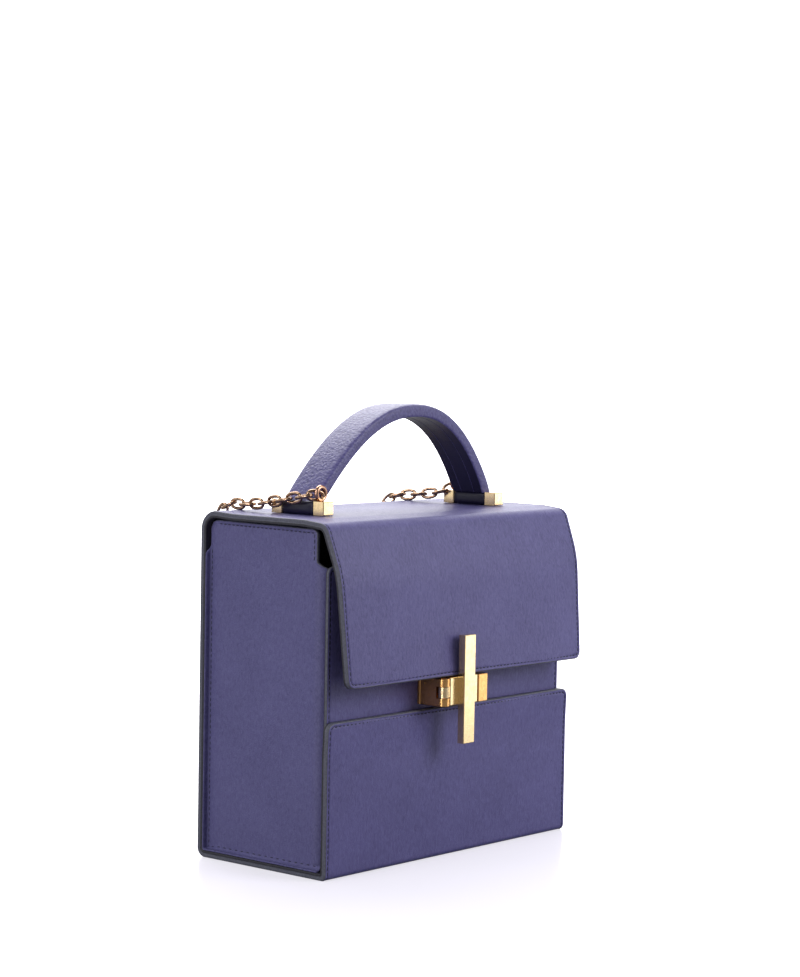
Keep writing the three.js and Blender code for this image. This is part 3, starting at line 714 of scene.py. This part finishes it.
def on_flange(side):
    """The placing on the cove between gusset and wrap: an arc about a line outside the gusset's face and inside
    the wrap's, at (face + r - (r + h) cos t, wall + r - (r + h) sin t), which then runs flat along the wrap."""
    corner = wrap_place(40.0, 0.0)

    def place(a, s, h):
        radius = FLANGE_COVE[0] + (FLANGE_COVE[1] - FLANGE_COVE[0]) * smooth_step((corner - s) / 8)
        angle = np.minimum(a / FLANGE_COVE[1], math.pi / 2)
        rest = (a - angle * FLANGE_COVE[1]) / (FLANGE_WIDTH - FLANGE_COVE[1] * math.pi / 2)
        x = GUSSET_FACE + radius - (radius + h) * np.cos(angle) + rest * (FLANGE_REACH - radius)
        depth = WRAP_WALL + FLANGE_WALL + radius - (radius + h) * np.sin(angle)
        return on_wrap(side * x, s, depth)

    return place


def make_flange(side, word):
    """The gusset's leather turned out and sewn to the wrap, along the bottom and up the back, with small pleats
    that follow sin(s) and a groove under its stitches. Its upper end is cut at a slant."""
    first, last = wrap_place(FLANGE_START, 0), wrap_place(HALF_DEPTH, FLANGE_END[1])
    low = wrap_place(HALF_DEPTH, FLANGE_END[0])
    rows = spread(first + 0.3, last - 0.3, [0, 0.4, 0.9, 1.5], 1.2)
    left = np.full(len(rows), 0.15)
    right = FLANGE_WIDTH - (FLANGE_WIDTH - 0.8) * np.clip((rows - low) / (last - low), 0, 1)

    def relief(a, s, d):
        waves = np.sin(s * 2 * math.pi / FLANGE_PITCH + 1.6 * np.sin(s / 9))
        pleats = 0.10 * waves * np.sin(math.pi * a / FLANGE_WIDTH)
        return pleats + 0.25 * np.exp(-((a - 0.5) / 0.3) ** 2) - 0.1

    place = on_flange(side)
    sheet(f"gusset_{word}_flange", rows, left, right, place, FLANGE_WALL - 0.1, relief,
          edge_profile(FLANGE_WALL - 0.1, 0.15), [0, 0.2, 0.35, 0.5, 0.7, 0.9], 0.7, kinds=(3, 3, 2),
          slot="leather")
    corner = wrap_place(40.0, 0.0)
    stitches(f"gusset_{word}_flange_stitches", [[(0.5, first + 2), (0.5, corner)]], place, 0.12,
             pitch=FLANGE_PITCH)
    stitches(f"gusset_{word}_back_stitches", [[(0.5, corner + 2), (0.5, last - 3)]], place, 0.12)


def make_handle():
    """The arched band. Its section, a crowned strap with two fine seams on its underside, painted near-black
    there
    as shade, is carried along the arch: at share t of the half span the outer face is at x = reach t + sway
    (1 - |t| ^ power) and z = top - rise |t| ^ power. A section point is its place across, its share from the
    inner to the outer face, and a distance added to that. The strap widens a little just above its feet."""
    t = np.sin(np.linspace(-1, 1, 97) * math.pi / 2)
    rise = HANDLE_TOP - HANDLE_FOOT
    fall = np.abs(t) ** ARCH_POWER
    sway = HANDLE_SWAY * (1 - fall)
    outer = np.stack([HANDLE_REACH * t + sway, HANDLE_TOP - rise * fall], axis=1)
    inner = np.stack([(HANDLE_REACH - HANDLE_FOOT_WIDTH) * t + sway,
                      HANDLE_TOP - HANDLE_THICKNESS - (rise - HANDLE_THICKNESS) * fall], axis=1)
    w = HANDLE_HALF_WIDTH
    half = np.array([
        (1.7, 1, -0.01), (3.5, 1, -0.04), (6.8, 1, -0.16), (8.8, 1, -0.34), (9.7, 1, -0.55), (10.35, 1, -0.95),
        (10.75, 1, -1.5), (w, 1, -2.1), (w, 0.5, 0), (w, 0, 1.5), (10.75, 0, 0.75), (10.45, 0, 0.25),
        (HANDLE_SHADED_HALF, 0, 0.1), (9.95, 0, 0.25), (9.7, 0, 0.25), (9.2, 0, 0.24), (7.0, 0, 0.22),
        (4.9, 0, 0.2), (4.7, 0, 0.2), (4.64, 0, HANDLE_SEAM), (4.46, 0, HANDLE_SEAM), (4.4, 0, 0.2),
        (4.2, 0, 0.2), (2.0, 0, 0.2),
    ])
    section = np.vstack([(half * (-1, 1, 1))[::-1], half])
    thick = outer - inner
    depth = section[None, :, 1] + section[None, :, 2] / np.linalg.norm(thick, axis=1, keepdims=True)
    xz = inner[:, None] + thick[:, None] * depth[..., None]
    along = lengths_along(outer)
    swell = 1 + HANDLE_SWELL / w * smooth_step(np.minimum(along, along[-1] - along) / 8.0)
    y = section[:, 0] * swell[:, None] + HANDLE_CENTRE_Y
    points = np.stack([xz[..., 0], y, xz[..., 1]], axis=-1).reshape(-1, 3)
    rows, columns = depth.shape
    flat = np.stack([section[:, 0], section[:, 1] * HANDLE_THICKNESS + section[:, 2]], axis=1)
    girth = lengths_along(flat)
    uv = np.stack([np.broadcast_to(girth, depth.shape), np.repeat(along[:, None], columns, axis=1)], axis=-1)
    k = np.arange(len(half) - 1)
    cap = np.stack([k, k + 1, columns - 2 - k, columns - 1 - k], axis=1)
    side_faces = grid_faces(rows, columns, ring=True)
    faces = np.vstack([side_faces, cap[:, ::-1], cap + (rows - 1) * columns])
    # The underside, except the seams, is painted near-black: painted shade on what is the same navy leather
    shaded_underside = (section[:, 1] == 0) & (np.abs(section[:, 0]) <= HANDLE_SHADED_HALF)
    on_seam = shaded_underside & (section[:, 2] == HANDLE_SEAM)
    dark = shaded_underside & np.roll(shaded_underside, -1) & ~(on_seam & np.roll(on_seam, -1))
    kinds = np.concatenate([np.tile(dark, rows - 1), np.zeros(2 * len(cap))]).astype(int)
    add_piece("handle_leather", points, faces, [NAVY_PEBBLED, BLACK_ROLL_AND_SHADE], kinds=kinds, uv=uv.reshape(-1, 2),
              stands_for=["handle"], slot="handle_leather")


def make_rolls():
    """The dark leather roll at each end of the handle, bored for its rod. Its section is a rounded square,
    |x / r| ^ 4 + |z / r| ^ 4 = 1, that reaches down to the lid."""
    r, b = ROLL_HALF, ROD_ROOM
    h = HANDLE_HALF_WIDTH
    profile = [(b, -h + 0.3), (b + 0.3, -h), (r - 0.6, -h), (r - 0.18, -h + 0.18), (r, -h + 0.6), (r, -h / 2),
               (r, 0), (r, h / 2), (r, h - 0.6), (r - 0.18, h - 0.18), (r - 0.6, h), (b + 0.3, h), (b, h - 0.3)]
    for side, word in ((-1, "left"), (1, "right")):
        points, faces = revolved((side * FITTING_X, HANDLE_CENTRE_Y, ROD_HEIGHT), "y", profile, 36)
        spoke = points[:, ::2] - (side * FITTING_X, ROD_HEIGHT)
        reach = np.hypot(*spoke.T)
        square = (np.abs(spoke / reach[:, None]) ** 4).sum(axis=1) ** -0.25
        points[:, ::2] += spoke * np.where(reach > b + 0.5, square - 1, 0)[:, None]
        bearing = np.tile(np.arange(36) / 36 * 2 * math.pi * r, len(profile))
        uv = np.stack([bearing, points[:, 1]], axis=1)
        add_piece(f"handle_roll_{word}_leather", points, faces, [BLACK_ROLL_AND_SHADE], uv=uv,
                  stands_for=[f"handle_roll_{word}"], slot="roll_leather")


def make_eyelets():
    """A thick round ring on a low collar, let into the top of a fitting block."""
    middle, wire = (EYELET_RADIUS + EYELET_HOLE) / 2, (EYELET_RADIUS - EYELET_HOLE) / 2
    bearing = np.arange(12) * math.pi / 6
    profile = np.stack([middle + wire * np.cos(bearing), wire * 1.05 * np.sin(bearing)], axis=1)
    for (x, y, z), word in zip(EYELET_CENTRES, ("left", "right")):
        points, faces = revolved((x, y, z), "y", profile, 32)
        low = BLOCK_TOP - z
        foot = [(0.01, low), (2.3, low), (2.3, low + 0.3), (2.1, low + 0.5), (0.01, low + 0.55)]
        foot_points, foot_faces = revolved((x, y, z), "z", foot, 20)
        foot_points[:, 1] = y + (foot_points[:, 1] - y) * 0.62
        add_piece(f"eyelet_{word}_ring", np.vstack([points, foot_points]),
                  np.vstack([faces, foot_faces + len(points)]), [ROSY_BRONZE], stands_for=[f"eyelet_{word}"],
                  slot="chain_gold")


def smooth_route(points, count=3000):
    """A centripetal Catmull-Rom curve through points, resampled at equal lengths."""
    p = np.asarray(points, float)
    p = np.vstack([2 * p[0] - p[1], p, 2 * p[-1] - p[-2]])
    knots = np.concatenate([[0], np.cumsum(np.linalg.norm(np.diff(p, axis=0), axis=1) ** 0.5)])
    at = np.linspace(knots[1], knots[-2], count)
    i = np.clip(np.searchsorted(knots, at, side="right") - 1, 1, len(p) - 3)
    t = [knots[i + k] for k in (-1, 0, 1, 2)]
    q = [p[i + k] for k in (-1, 0, 1, 2)]

    def between(a, b, low, high):
        share = ((at - low) / (high - low))[:, None]
        return a + (b - a) * share

    a1, a2, a3 = (between(q[k], q[k + 1], t[k], t[k + 1]) for k in (0, 1, 2))
    b1, b2 = between(a1, a2, t[0], t[2]), between(a2, a3, t[1], t[3])
    curve = between(b1, b2, t[1], t[2])
    return curve, lengths_along(curve)


def make_chain():
    """Oval links along the route, each turned a quarter turn from the last about the chain's own line. A link
    is a round wire carried round a flattened ring, |x / a| ^ 2.5 + |y / b| ^ 2.5 = 1."""
    curve, length = smooth_route(RING_STARTS + CHAIN_ROUTE + RING_ENDS)
    curve[:, 2] -= CHAIN_SETTLE * smooth_step((curve[:, 2] - 183) / 3)
    reach = LINK_PITCH * 0.4
    count = int(length[-1] / LINK_PITCH)
    at = np.linspace(reach, length[-1] - reach, count)
    centre, ahead, behind = (points_at(at + step, length, curve) for step in (0, reach, -reach))
    tangent = unit(ahead - behind)
    hanging = ((curve[:, 2] > HANGING[0]) & (curve[:, 2] < HANGING[1])).astype(float)
    hanging = np.convolve(np.pad(hanging, 40, mode="edge"), np.ones(81) / 81, mode="valid")
    share = np.interp(at, length, hanging)
    lift = unit(np.stack([0 * share, share, 1 - share], axis=1) + 1e-6)
    side = unit(np.cross(lift, tangent))
    lift = np.cross(tangent, side)
    lean = np.radians(LINK_LEANS)[np.arange(count) % 2][:, None]
    across = side * np.cos(lean) + lift * np.sin(lean)
    normal = np.cross(tangent, across)
    around, wire_sides = 18, 6
    phi = (np.arange(around) + 0.5) * 2 * math.pi / around
    long_half, wide_half = (LINK_LENGTH - LINK_WIRE) / 2, (LINK_WIDTH - LINK_WIRE) / 2
    power = 2 / LINK_POWER
    ring = np.stack([long_half * np.sign(np.cos(phi)) * np.abs(np.cos(phi)) ** power,
                     wide_half * np.sign(np.sin(phi)) * np.abs(np.sin(phi)) ** power], axis=1)
    way = unit(np.roll(ring, -1, axis=0) - np.roll(ring, 1, axis=0))
    out = np.stack([way[:, 1], -way[:, 0]], axis=1)
    theta = np.arange(wire_sides) * 2 * math.pi / wire_sides
    r = LINK_WIRE / 2
    local = np.concatenate([
        ring[:, None] + out[:, None] * r * np.cos(theta)[None, :, None],
        np.broadcast_to((r * np.sin(theta))[None, :, None], (around, wire_sides, 1)),
    ], axis=2).reshape(-1, 3)
    basis = np.stack([tangent, across, normal], axis=1)
    points = centre[:, None] + np.einsum("kj,njc->nkc", local, basis)
    shape = grid_faces(around, wire_sides, torus=True)
    faces = (shape[None] + (np.arange(count) * around * wire_sides)[:, None, None]).reshape(-1, 4)
    add_piece("chain_links", points.reshape(-1, 3), faces, [CHAIN_GOLD], slot="chain_gold",
              stands_for=["chain_strap_left", "chain_strap_right"])


def dress_node(node, material):
    """Gives a CAD node its material."""
    data = nodes[node].data
    data.materials.clear()
    data.materials.append(material)


make_wrap()
wrap_stitches()
make_panel()
panel_stitches()
for side, word in ((-1, "left"), (1, "right")):
    make_gusset(side, word)
    gusset_stitches(side, word)
    make_flange(side, word)
make_handle()
make_rolls()
make_eyelets()
make_chain()
for node in ("handle_fitting_left", "handle_fitting_right", "clasp_bar"):
    dress_node(node, PALE_GOLD)
for node in ("clasp_plate", "clasp_hinge_block", "clasp_pin", "clasp_catch"):
    dress_node(node, WARM_GOLD)


def make_floor():
    """A pale floor. The camera sees it white, with a soft trace of the bag where they touch, and it throws
    little light back up, as a floor far larger than its lamps."""
    mesh = bpy.data.meshes.new("floor")
    size = 8.0
    corners = [(-size, -size, 0), (size, -size, 0), (size, size, 0), (-size, size, 0)]
    mesh.from_pydata(corners, [], [(0, 1, 2, 3)])
    material, tree, shader = new_material("pale_floor", 0.2, Specular_IOR_Level=0.12)
    seen = tree.nodes.new("ShaderNodeLightPath").outputs["Is Camera Ray"]
    tree.links.new(blend(tree, seen, (0.22, 0.22, 0.24), (0.47, 0.45, 0.52)), shader.inputs["Base Color"])
    away = tree.nodes.new("ShaderNodeVectorMath")
    away.operation = "LENGTH"
    tree.links.new(surface_vector(tree, "Object"), away.inputs[0])
    glow = remap(tree, away.outputs["Value"], 0.25, 1.2, 0.62, 1.4)
    shader.inputs["Emission Color"].default_value = (0.97, 0.96, 1.0, 1)
    tree.links.new(maths(tree, "MULTIPLY", seen, glow), shader.inputs["Emission Strength"])
    mesh.materials.append(material)
    floor = bpy.data.objects.new("floor", mesh)
    scene.collection.objects.link(floor)


def softbox(name, place, aim, size, power):
    """A square area light at a place, facing its aim, in metres and watts."""
    data = bpy.data.lights.new(name, "AREA")
    data.shape = "SQUARE"
    data.size = size
    data.energy = power
    light = bpy.data.objects.new(name, data)
    way = np.subtract(aim, place)
    back = unit(-way)
    right = unit(np.cross((0, 0, 1) if abs(back[2]) < 0.99 else (0, 1, 0), back))
    up = np.cross(back, right)
    rows = np.stack([right, up, back], axis=1).tolist()
    light.matrix_world = Matrix([(*row, p) for row, p in zip(rows, place)] + [(0, 0, 0, 1)])
    light.visible_camera = False
    scene.collection.objects.link(light)


def make_world():
    """White where the camera sees it. As light it is bright behind the bag and dim on the camera's side."""
    world = bpy.data.worlds.new("studio")
    world.use_nodes = True
    tree = world.node_tree
    background = tree.nodes["Background"]
    background.inputs["Color"].default_value = (1, 1, 1, 1)
    towards = tree.nodes.new("ShaderNodeVectorMath")
    towards.operation = "DOT_PRODUCT"
    towards.inputs[1].default_value = (0.74, 0.64, 0.20)
    tree.links.new(surface_vector(tree, "Generated"), towards.inputs[0])
    behind = maths(tree, "POWER", maths(tree, "MAXIMUM", towards.outputs["Value"], 0.0), 3.0)
    light = remap(tree, behind, 0.0, 1.0, 0.22, 3.0)
    seen = tree.nodes.new("ShaderNodeLightPath").outputs["Is Camera Ray"]
    strength = maths(tree, "MAXIMUM", light, maths(tree, "MULTIPLY", seen, 1.3))
    tree.links.new(strength, background.inputs["Strength"])
    scene.world = world


def make_camera():
    """The photograph's camera, solved from the bag's edges."""
    azimuth, elevation, roll = np.radians(CAMERA_TURN)
    back = np.array([math.sin(azimuth) * math.cos(elevation), -math.cos(azimuth) * math.cos(elevation),
                     math.sin(elevation)])
    right = unit(np.cross((0, 0, 1), back))
    up = np.cross(back, right)
    turned = [right * math.cos(roll) + up * math.sin(roll), up * math.cos(roll) - right * math.sin(roll), back]
    data = bpy.data.cameras.new("camera")
    data.sensor_width = 36
    data.lens = CAMERA_LENS
    data.clip_end = 50
    camera = bpy.data.objects.new("camera", data)
    rows = np.stack(turned, axis=1).tolist()
    camera.matrix_world = Matrix([(*row, p) for row, p in zip(rows, CAMERA_PLACE)] + [(0, 0, 0, 1)])
    scene.collection.objects.link(camera)
    bpy.context.scene.camera = camera


make_camera()
make_floor()
make_world()
softbox("key", (0.55, -1.10, 0.75), (0, 0, 0.12), 0.7, 10.2)
softbox("left", (-1.4, 0.2, 0.9), (0, 0, 0.1), 0.8, 8.5)
softbox("left_strip", (-1.5, -0.3, 0.25), (0, 0, 0.1), 0.3, 4.2)
softbox("left_card", (-1.1, 1.0, 0.12), (0, 0, 0.15), 0.8, 1.8)
softbox("top", (0.45, 0.75, 1.4), (0, 0, 0.15), 1.2, 18)
softbox("right", (1.45, -1.35, 0.35), (0, 0, 0.1), 0.8, 2.5)
softbox("front_card", (0.42, -0.40, 0.05), (0, -0.06, 0.09), 0.3, 0.34)
scene.view_settings.view_transform = "Standard"
scene.view_settings.look = "None"
